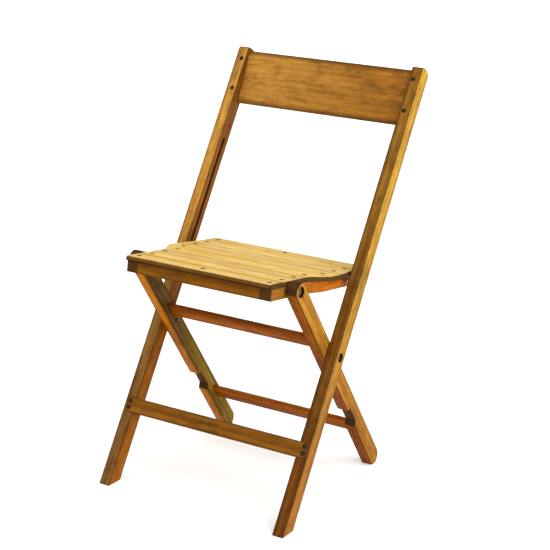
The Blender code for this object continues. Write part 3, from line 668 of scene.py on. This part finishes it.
BACK_SCREW_LENGTH = 0.0235
STRETCHER_SCREW_LENGTH = 0.0195
SCREW_HEAD = 0.0036
SCREW_RIM = 0.0005
SCREW_CONE = 0.0022
SCREW_NECK = 0.0018
SCREW_ROOT = 0.0016
SCREW_DOME = 0.00015
SCREW_SLOT_WIDTH = 0.0009
SCREW_SLOT_DEPTH = 0.0009
SCREW_SLOT_SLOPE = 0.00024
screw_iron = metal_look(
    "screw_iron", bare=(0.060, 0.040, 0.026), dark=(0.016, 0.010, 0.007),
    rust=(0.08, 0.032, 0.010), rust_amount=0.7, polish=0.50,
)


def screw_head(turn):
    """A slightly domed head with one slot at an angle across it."""

    def relief(u, v, h):
        off = np.abs(u * np.sin(turn) - v * np.cos(turn))
        inside = (SCREW_SLOT_WIDTH + SCREW_SLOT_SLOPE) / 2 - off
        slot = np.clip(inside / SCREW_SLOT_SLOPE, 0, 1)
        dome = SCREW_DOME * (1 - (u * u + v * v) / SCREW_HEAD**2)
        return (h > -SCREW_RIM / 2) * (dome - SCREW_SLOT_DEPTH * slot)

    return relief


screw_turns = iter((0.4, 1.9, 2.6, 0.9, 1.2, 2.9, 0.2, 2.1))
for kind, length in (
    ("back_screw", BACK_SCREW_LENGTH), ("stretcher_screw", STRETCHER_SCREW_LENGTH),
):
    for word in ("left", "right"):
        for level in ("upper", "lower"):
            node = f"{kind}_{word}_{level}"
            _, centre, half = extent(node, STILE_BACK, STILE_UP)
            face = centre - STILE_BACK * half[2]
            profile = [(radius, 0.0) for radius in np.linspace(0.0, SCREW_HEAD, 10)] + [
                (SCREW_HEAD, -SCREW_RIM), (SCREW_NECK, -SCREW_CONE),
                (SCREW_ROOT, -0.8 * length), (0.0, -length),
            ]
            mesh = turned(
                f"{node}_iron", face, -STILE_BACK, STILE_UP, profile, 40,
                screw_head(next(screw_turns)),
            )
            add_piece(f"{node}_iron", mesh, screw_iron, "stile_frame", "screw_iron", node)

# ---------------------------------------------------------------------------------------------
# Legs. Two shorter beech bars with a round top and a rounded rear foot, notched in front where
# the stretcher lies when the chair is folded. The notch's shoulders take the dark end-grain
# colour, and painted shade darkens the notch.

LEG_LEAN = np.radians(35.5)
LEG_UP = np.array((0.0, -np.sin(LEG_LEAN), np.cos(LEG_LEAN)))
LEG_BACK = np.array((0.0, np.cos(LEG_LEAN), np.sin(LEG_LEAN)))
LEG_OUTER_FACE = 0.1770
LEG_ARRIS = 0.0005
BOLT_STAIN = 0.0122
# Painted light and shade on the legs' front faces, lighter on the left leg than on the right.
LEG_FRONT_LIGHT_AND_SHADE = {"left": (1.05, 0.78, 0.20), "right": (0.61, 0.35, 0.08)}
for word, side, seed in (("left", -1, 15.6), ("right", 1, 19.3)):
    node = f"{word}_leg"
    pivot = middle_of(f"seat_pivot_bolt_{word}") * (0, 1, 1) + side * LEG_OUTER_FACE * ACROSS
    # Painted shade darkens the notch.
    look = wood_look(
        f"leg_wood_{word}", extent(node, LEG_UP, LEG_BACK), seed, spots=[(pivot, BOLT_STAIN)],
        pale=(0.51, 0.240, 0.022), deep=(0.24, 0.084, 0.008), cut_amount=0.90,
        stain=(0.075, 0.030, 0.004), stain_amount=0.70,
        edge=(0.06, 0.025, 0.004), edge_amount=0.68, end=(0.040, 0.017, 0.005),
        inside_axis=-side * ACROSS, inside=(0.32, 0.40, 0.50), inside_low=(0.60, 0.80, 0.8),
        front_axis=-LEG_BACK, front=LEG_FRONT_LIGHT_AND_SHADE[word],
        lower=(0.90, 0.85, 0.80),
    )
    bar = eased_copy(node, LEG_ARRIS)
    add_piece(f"{node}_bar", bar, look, "leg_frame", "leg_wood", node)

# ---------------------------------------------------------------------------------------------
# Leg rails. Two thin flat boards housed in the legs' inner faces, one under the seat and one
# low down. They kept their orange varnish, which is darker along the arrises.

for node, seed in (("upper_leg_rail", 23.9), ("lower_leg_rail", 27.4)):
    placed = extent(node, ACROSS, LEG_BACK)
    look = wood_look(
        f"{node}_wood", placed, seed,
        pale=(0.34, 0.084, 0.001), deep=(0.15, 0.032, 0.001),
        stain=(0.08, 0.022, 0.002), stain_amount=0.60,
        edge=(0.09, 0.036, 0.006), edge_amount=0.60, end=(0.06, 0.027, 0.010),
    )
    rail = worn_bar(f"{node}_board", placed, radius=0.0010, wear=0.0004, turns=29.0)
    add_piece(f"{node}_board", rail, look, "leg_frame", "leg_rail_wood", node)

# ---------------------------------------------------------------------------------------------
# Cross pivots. A steel rivet through each stile and leg, its head peened in a recess, and a
# thin washer that keeps the two bars apart.

RIVET_HEAD = 0.0072
RIVET_HEAD_THICK = 0.0021
RIVET_DOME = 0.0013
RIVET_SHANK = 0.0035
RIVET_END = 0.0048
RIVET_END_THICK = 0.0013
STEP_SLOPE = 0.0001
HAMMERED_RADIUS = 0.0066
HAMMER_MARK = 0.00006
rivet_steel = metal_look(
    "rivet_steel", bare=(0.070, 0.052, 0.036), dark=(0.020, 0.015, 0.010),
    rust=(0.07, 0.03, 0.012), rust_amount=0.55, polish=0.45,
)
washer_steel = metal_look(
    "washer_steel", bare=(0.42, 0.39, 0.35), dark=(0.18, 0.16, 0.14),
    rust=(0.20, 0.09, 0.04), rust_amount=0.35, polish=0.35,
)


def domed(radius, rise, turn, count):
    """A dome's profile: at angle t it lies radius sin t out and rise (1 - cos t) down."""
    return [(radius * np.sin(t), -rise * (1 - np.cos(t))) for t in np.linspace(0, turn, count)]


def peened(u, v, _):
    """Hammer marks on both heads: two crossed sines, a tenth of a millimetre from low to high."""
    marks = np.sin(1500 * u + 1) * np.sin(1300 * v)
    return HAMMER_MARK * marks * (np.hypot(u, v) < HAMMERED_RADIUS)


for word, side in (("left", -1), ("right", 1)):
    node = f"cross_pivot_rivet_{word}"
    outwards = side * ACROSS
    _, centre, half = extent(node, outwards, STILE_BACK)
    face = centre + outwards * half[2]
    length = 2 * half[2]
    dome = domed(RIVET_HEAD, RIVET_DOME, 1.45, 8)
    foot = [(RIVET_END * r / RIVET_HEAD, -length - 0.6 * h) for r, h in dome[::-1]]
    profile = [
        *dome, (RIVET_HEAD, -RIVET_HEAD_THICK), (RIVET_SHANK, -RIVET_HEAD_THICK - STEP_SLOPE),
        (RIVET_SHANK, -length + RIVET_END_THICK + STEP_SLOPE),
        (RIVET_END, -length + RIVET_END_THICK), *foot,
    ]
    mesh = turned(f"{node}_steel", face, outwards, STILE_UP, profile, 32, peened)
    add_piece(f"{node}_steel", mesh, rivet_steel, "stile_frame", "rivet_steel", node)
    dress(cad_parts[f"cross_pivot_washer_{word}"].data, washer_steel)

# ---------------------------------------------------------------------------------------------
# Seat rails. Two side rails sawn to a slight S in plan, so that the seat clears the legs in
# front and fills the stiles behind, and a cross rail at each end. Their front ends show end
# grain.

SEAT_TILT = 2 * (STILE_LEAN + LEG_LEAN) - np.pi / 2 - LEG_LEAN
SEAT_BACK = np.array((0.0, np.cos(SEAT_TILT), -np.sin(SEAT_TILT)))
SEAT_UP = np.array((0.0, np.sin(SEAT_TILT), np.cos(SEAT_TILT)))
SEAT_AXES = np.stack([ACROSS, SEAT_BACK, SEAT_UP], axis=1)
SEAT_PIVOT = middle_of("seat_pivot_bolt_left") * (0, 1, 1)
SIDE_RAIL_WIDTH = 0.022
RAIL_CENTRE_FRONT = 0.144
RAIL_CENTRE_SHIFT = 0.012
RAIL_BEND = (0.045, 0.110)


def smooth_step(value, start, end):
    """0 before start, 1 after end, and a smooth S between them."""
    t = np.clip((value - start) / (end - start), 0.0, 1.0)
    return t * t * (3 - 2 * t)


def seat_extent(node):
    """A seat piece's lowest and highest place in the seat's own axes, from the seat pivot."""
    points = np.array([v.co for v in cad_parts[node].data.vertices])
    local = (points - SEAT_PIVOT) @ SEAT_AXES
    return local.min(0), local.max(0)


def curved_rail(name, node, side, radius, wear):
    """A side rail: a rounded section carried along a line that shifts out in a smooth S."""
    low, high = seat_extent(node)
    length, middle = high[1] - low[1], (high[1] + low[1]) / 2
    places, draws = end_stations(length, radius, np.linspace(-length / 2, length / 2, 48))
    section, out = rounded_section(SIDE_RAIL_WIDTH, high[2] - low[2], radius)
    corner = 4 * (out[:, 0] * out[:, 1]) ** 2
    wave = 0.5 + 0.5 * np.sin(41.0 * places)
    inward = draws[:, None] + wear * wave[:, None] * corner[None]
    across = section[None] - inward[..., None] * out[None]
    s = places + middle
    shift = RAIL_CENTRE_FRONT + RAIL_CENTRE_SHIFT * smooth_step(s, *RAIL_BEND)
    local = np.stack(
        [across[..., 0] + side * shift[:, None], np.broadcast_to(s[:, None], across.shape[:2]),
         across[..., 1] + (high[2] + low[2]) / 2], axis=-1,
    )
    return lofted(name, local @ SEAT_AXES.T + SEAT_PIVOT)


# Painted light: the pale and deep colours are raised so that the rails' rear parts, shaded by the
# slats above them, look lit, and the lower tone darkens their front ends.
SIDE_RAIL_TONES = dict(
    pale=(0.80, 0.205, 0.002), deep=(0.50, 0.100, 0.001), lower=(0.40, 0.70, 7.0),
    stain=(0.16, 0.040, 0.002), stain_amount=0.55,
    edge=(0.07, 0.030, 0.006), edge_amount=0.55, end=(0.050, 0.023, 0.005),
)
CROSS_RAIL_TONES = dict(
    pale=(0.20, 0.070, 0.003), deep=(0.10, 0.030, 0.001),
    stain=(0.05, 0.018, 0.002), stain_amount=0.65,
    edge=(0.05, 0.020, 0.004), edge_amount=0.60, end=(0.035, 0.016, 0.003),
)
for word, side, seed in (("left", -1, 31.8), ("right", 1, 36.5)):
    node = f"seat_rail_{word}"
    look = wood_look(
        f"seat_rail_{word}_wood", extent(node, SEAT_BACK, np.cross(SEAT_BACK, ACROSS)), seed,
        **SIDE_RAIL_TONES,
    )
    rail = curved_rail(f"{node}_bar", node, side, radius=0.0010, wear=0.0003)
    add_piece(f"{node}_bar", rail, look, "seat", "seat_rail_wood", node)
for word, seed in (("front", 41.1), ("rear", 44.6)):
    node = f"seat_rail_{word}"
    placed = extent(node, ACROSS, SEAT_BACK)
    look = wood_look(f"seat_rail_{word}_wood", placed, seed, **CROSS_RAIL_TONES)
    rail = worn_bar(f"{node}_bar", placed, radius=0.0009, wear=0.0003, turns=33.0)
    add_piece(f"{node}_bar", rail, look, "seat", "seat_rail_wood", node)

# ---------------------------------------------------------------------------------------------
# Seat slats. Eight narrow boards laid side by side and nailed down, then sawn together to one
# outline: narrow between the leg tops and wide behind. Pale where sitting has worn the stain.

FRONT_HALF_WIDTH = 0.1555
SHOULDER_WIDENING = 0.025
SHOULDER = (0.055, 0.112)
REAR_NARROWING = 0.0075
REAR_TAPER = (0.130, 0.210)
FRONT_NAIL_X = 0.1402
REAR_NAIL_X = 0.1540
NAIL_DIMPLE_RADIUS = 0.0031
NAIL_DIMPLE_DEPTH = 0.00085
NAIL_STAIN = 0.0056
SLAT_ARRIS = 0.0010
FIRST_SLAT_NOSE = 0.0045
SLAT_CROWN = 0.00015


def seat_half_width(s):
    """Half the seat's width at s: narrow in front, widening in a smooth S, tapering behind."""
    widening = SHOULDER_WIDENING * smooth_step(s, *SHOULDER)
    return FRONT_HALF_WIDTH + widening - REAR_NARROWING * smooth_step(s, *REAR_TAPER)


def slat_mesh(name, node, nails, front_radius):
    """A slat: a rounded section carried across the seat between the two sawn ends.

    A point of the section at s runs from minus to plus the seat's half width there. The top
    falls by a parabola across the slat and a squared sine along it, and dips round each nail.
    """
    low, high = seat_extent(node)
    centre = (low[1:] + high[1:]) / 2
    size = high[1:] - low[1:]
    fine = np.linspace(-0.0045, 0.0045, 19)
    coarse = np.array((-0.014, -0.010, -0.007, 0.007, 0.010, 0.014))
    coarse = coarse[coarse > 1.1 * front_radius - size[0] / 2]
    section, out = rounded_section(
        size[0], size[1], (SLAT_ARRIS, front_radius, SLAT_ARRIS, SLAT_ARRIS), arc_steps=5,
        top_stations=np.concatenate([coarse, fine]),
    )
    half = seat_half_width(section[:, 0] + centre[0])
    spread = 2 * seat_half_width(centre[0])
    stations = np.concatenate(
        [np.linspace(-spread / 2, spread / 2, 30), *[fine + x for x in nails]]
    )
    places, draws = end_stations(spread, SLAT_ARRIS, np.sort(stations))
    across = section[None] - draws[:, None, None] * out[None]
    x = places[:, None] / (spread / 2) * half[None]
    s, h = across[..., 0], across[..., 1]
    top = out[:, 1] > 0.9
    dip = np.zeros(x.shape)
    for nail in nails:
        reach = np.hypot(x - nail, s)
        dip = np.maximum(dip, 1 - smooth_step(reach, 0.75 * NAIL_DIMPLE_RADIUS, NAIL_DIMPLE_RADIUS))
    worn = SLAT_CROWN * ((2 * s / size[0]) ** 2 + 0.4 * np.sin(60 * x) ** 2)
    h = h - top[None] * (NAIL_DIMPLE_DEPTH * dip + worn)
    local = np.stack([x, s + centre[0], h + centre[1]], axis=-1)
    return lofted(name, local @ SEAT_AXES.T + SEAT_PIVOT)


def slat_middle(node):
    """A slat's middle from the seat pivot, rearwards."""
    low, high = seat_extent(node)
    return (low[1] + high[1]) / 2


SEAT_TOP = seat_extent("seat_slat_5")[1][2]
# The front tone is painted shade on the slats' front faces: along the seat's front edge and in the
# seams between the slats.
SLAT_TONES = dict(
    stain=(0.34, 0.17, 0.025), stain_amount=0.50, streak=0.70,
    end=(0.065, 0.030, 0.007), front_axis=-SEAT_BACK, front=(0.20, 0.13, 0.08),
)
# The first slat's dark edges are worn arrises and painted shade along the seat's front edge.
FIRST_SLAT_EDGE_AND_SHADE = dict(edge=(0.10, 0.043, 0.007), edge_amount=0.95, edge_reach=0.0038)
SLAT_EDGE = dict(edge=(0.26, 0.125, 0.018), edge_amount=0.26, edge_reach=0.0025)
# How much lighter each slat is than a middling one, and the seed of its grain.
slat_shades = (
    (0.00, 51.0), (0.05, 54.3), (-0.04, 58.9), (0.07, 62.2),
    (0.03, 66.6), (-0.03, 71.5), (0.06, 75.4), (0.01, 79.8),
)
for index, (shade, seed) in enumerate(slat_shades, start=1):
    node = f"seat_slat_{index}"
    nail_x = FRONT_NAIL_X if index <= 4 else REAR_NAIL_X
    nails = [-nail_x, nail_x] + ([0.0] if index in (1, 8) else [])
    look = wood_look(
        f"slat_wood_{index}", extent(node, ACROSS, SEAT_BACK), seed,
        spots=[
            (SEAT_PIVOT + SEAT_AXES @ np.array((x, slat_middle(node), SEAT_TOP)), NAIL_STAIN)
            for x in nails
        ],
        pale=(0.67 + shade, 0.465 + 0.8 * shade, 0.145),
        deep=(0.54 + shade, 0.335 + 0.8 * shade, 0.08),
        **SLAT_TONES, **(FIRST_SLAT_EDGE_AND_SHADE if index == 1 else SLAT_EDGE),
    )
    nose = FIRST_SLAT_NOSE if index == 1 else SLAT_ARRIS
    mesh = slat_mesh(f"{node}_board", node, nails, nose)
    add_piece(f"{node}_board", mesh, look, "seat", "seat_slat_wood", node)

# ---------------------------------------------------------------------------------------------
# Nails. Flat-headed iron nails set a little below the seat, black with age, one in each end of
# every slat and one in the middle of the first and last.

NAIL_HEAD = 0.0023
NAIL_HEAD_THICK = 0.0009
NAIL_SHANK = 0.0012
NAIL_DISH = 0.00018
nail_iron = metal_look(
    "nail_iron", bare=(0.030, 0.022, 0.016), dark=(0.010, 0.007, 0.005),
    rust=(0.03, 0.012, 0.005), rust_amount=0.6, polish=0.55,
)


def dished(u, v, h):
    """The head's middle is struck lower than its rim, by a parabola across the head."""
    return -NAIL_DISH * (1 - (u * u + v * v) / NAIL_HEAD**2) * (h > -NAIL_HEAD_THICK / 2)


for node in sorted(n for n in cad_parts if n.startswith("slat_nail_")):
    low, high = seat_extent(node)
    middle = (low + high) / 2
    face = SEAT_PIVOT + SEAT_AXES @ np.array((middle[0], middle[1], high[2]))
    length = high[2] - low[2]
    profile = [
        (0.0, 0.0), (0.4 * NAIL_HEAD, 0.0), (0.8 * NAIL_HEAD, 0.0), (NAIL_HEAD, -0.0002),
        (NAIL_HEAD, -NAIL_HEAD_THICK), (NAIL_SHANK, -NAIL_HEAD_THICK - 2 * STEP_SLOPE),
        (NAIL_SHANK, -0.85 * length), (0.0, -length),
    ]
    mesh = turned(f"{node}_iron", face, SEAT_UP, SEAT_BACK, profile, 14, dished)
    add_piece(f"{node}_iron", mesh, nail_iron, "seat", "nail_iron", node)

# ---------------------------------------------------------------------------------------------
# Seat pivots. A steel bolt through each leg's round top and the side rail, its end peened over
# a collar in a counterbore, and a spacer tube between leg and rail.

BOLT_RADIUS = 0.004
BOLT_DOME = 0.0009
BOLT_END = 0.0014
COLLAR_RADIUS = 0.0070
COLLAR_THICK = 0.0014
INNER_HEAD = 0.0062
INNER_HEAD_THICK = 0.0021
bolt_steel = metal_look(
    "bolt_steel", bare=(0.20, 0.155, 0.11), dark=(0.05, 0.036, 0.024),
    rust=(0.10, 0.04, 0.015), rust_amount=0.50, polish=0.36,
)
for word, side in (("left", -1), ("right", 1)):
    node = f"seat_pivot_bolt_{word}"
    outwards = side * ACROSS
    _, centre, half = extent(node, outwards, SEAT_BACK)
    face = centre + outwards * half[2]
    length = 2 * half[2]
    profile = [
        *domed(BOLT_RADIUS, BOLT_DOME, 1.5, 6), (BOLT_RADIUS, -BOLT_END),
        (COLLAR_RADIUS, -BOLT_END - STEP_SLOPE), (COLLAR_RADIUS, -BOLT_END - COLLAR_THICK),
        (BOLT_RADIUS, -BOLT_END - COLLAR_THICK - STEP_SLOPE),
        (BOLT_RADIUS, -length + INNER_HEAD_THICK + STEP_SLOPE),
        (INNER_HEAD, -length + INNER_HEAD_THICK), (INNER_HEAD, -length + 0.0010),
        (0.0046, -length + 0.0003), (0.0020, -length), (0.0, -length),
    ]
    mesh = turned(f"{node}_steel", face, outwards, SEAT_UP, profile, 32)
    add_piece(f"{node}_steel", mesh, bolt_steel, "seat", "bolt_steel", node)
    dress(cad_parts[f"seat_pivot_spacer_{word}"].data, washer_steel)

# ---------------------------------------------------------------------------------------------
# Slide pins. Short steel pins driven into the rear of the side rails. Their free ends run in
# the stiles' slots, which keeps them bright.

pin_steel = metal_look(
    "pin_steel", bare=(0.50, 0.47, 0.43), dark=(0.26, 0.24, 0.21),
    rust=(0.20, 0.09, 0.04), rust_amount=0.20, polish=0.26,
)
for word in ("left", "right"):
    dress(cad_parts[f"slide_pin_{word}"].data, pin_steel)

# ---------------------------------------------------------------------------------------------
# Stage. A plain pale floor under soft white light from +X and from above, and the camera in
# front of the chair, above its seat and well towards +X.

FLOOR_HALF = 30.0
floor_mesh = bpy.data.meshes.new("floor")
floor_mesh.from_pydata(
    [(-FLOOR_HALF, -FLOOR_HALF, 0), (FLOOR_HALF, -FLOOR_HALF, 0), (FLOOR_HALF, FLOOR_HALF, 0),
     (-FLOOR_HALF, FLOOR_HALF, 0)], [], [(0, 1, 2, 3)],
)
floor = bpy.data.objects.new("floor", floor_mesh)
bpy.context.scene.collection.objects.link(floor)
floor_look = bpy.data.materials.new("floor_paper")
floor_look.use_nodes = True
floor_shader = floor_look.node_tree.nodes["Principled BSDF"]
floor_shader.inputs["Base Color"].default_value = (0.90, 0.90, 0.89, 1.0)
floor_shader.inputs["Roughness"].default_value = 0.9
floor_shader.inputs["Emission Color"].default_value = (1.0, 1.0, 1.0, 1.0)
floor_shader.inputs["Emission Strength"].default_value = 0.12
floor_shader.inputs["Specular IOR Level"].default_value = 0.1
floor_mesh.materials.append(floor_look)

world = bpy.data.worlds.new("studio")
world.use_nodes = True
world.node_tree.nodes["Background"].inputs["Color"].default_value = (1.0, 1.0, 1.0, 1.0)
world.node_tree.nodes["Background"].inputs["Strength"].default_value = 0.45
bpy.context.scene.world = world


def soft_sun(name, towards, strength, spread):
    """A sun that shines from the given direction, as soft as its spread in degrees."""
    lamp = bpy.data.lights.new(name, "SUN")
    lamp.energy = strength
    lamp.angle = np.radians(spread)
    made = bpy.data.objects.new(name, lamp)
    bpy.context.scene.collection.objects.link(made)
    away = np.array(towards) / np.linalg.norm(towards)
    side = np.cross((0.0, 1.0, 0.0), away)
    side = side / np.linalg.norm(side)
    axes = np.stack([side, np.cross(away, side), away], axis=1)
    made.matrix_world = Matrix(axes.tolist()).to_4x4()


soft_sun("key", towards=(0.80, -0.12, 0.62), strength=2.2, spread=50.0)
soft_sun("overhead", towards=(-0.10, -0.42, 1.0), strength=2.4, spread=110.0)

CAMERA_PLACE = (1.51246, -2.39909, 1.26233)
AZIMUTH, ELEVATION, ROLL = np.radians((31.77, 17.08, 1.19))
ahead = np.array(
    (-np.sin(AZIMUTH) * np.cos(ELEVATION), np.cos(AZIMUTH) * np.cos(ELEVATION), -np.sin(ELEVATION))
)
level = np.array((np.cos(AZIMUTH), np.sin(AZIMUTH), 0.0))
upright = np.cross(level, ahead)
right = np.cos(ROLL) * level + np.sin(ROLL) * upright
above = -np.sin(ROLL) * level + np.cos(ROLL) * upright
camera_data = bpy.data.cameras.new("camera")
camera_data.lens = 102.745
camera_data.sensor_width = 36.0
camera = bpy.data.objects.new("camera", camera_data)
bpy.context.scene.collection.objects.link(camera)
camera_axes = np.stack([right, above, -ahead], axis=1)
camera.matrix_world = Matrix.LocRotScale(CAMERA_PLACE, Matrix(camera_axes.tolist()), None)
bpy.context.scene.camera = camera
bpy.context.scene.view_settings.view_transform = "Standard"
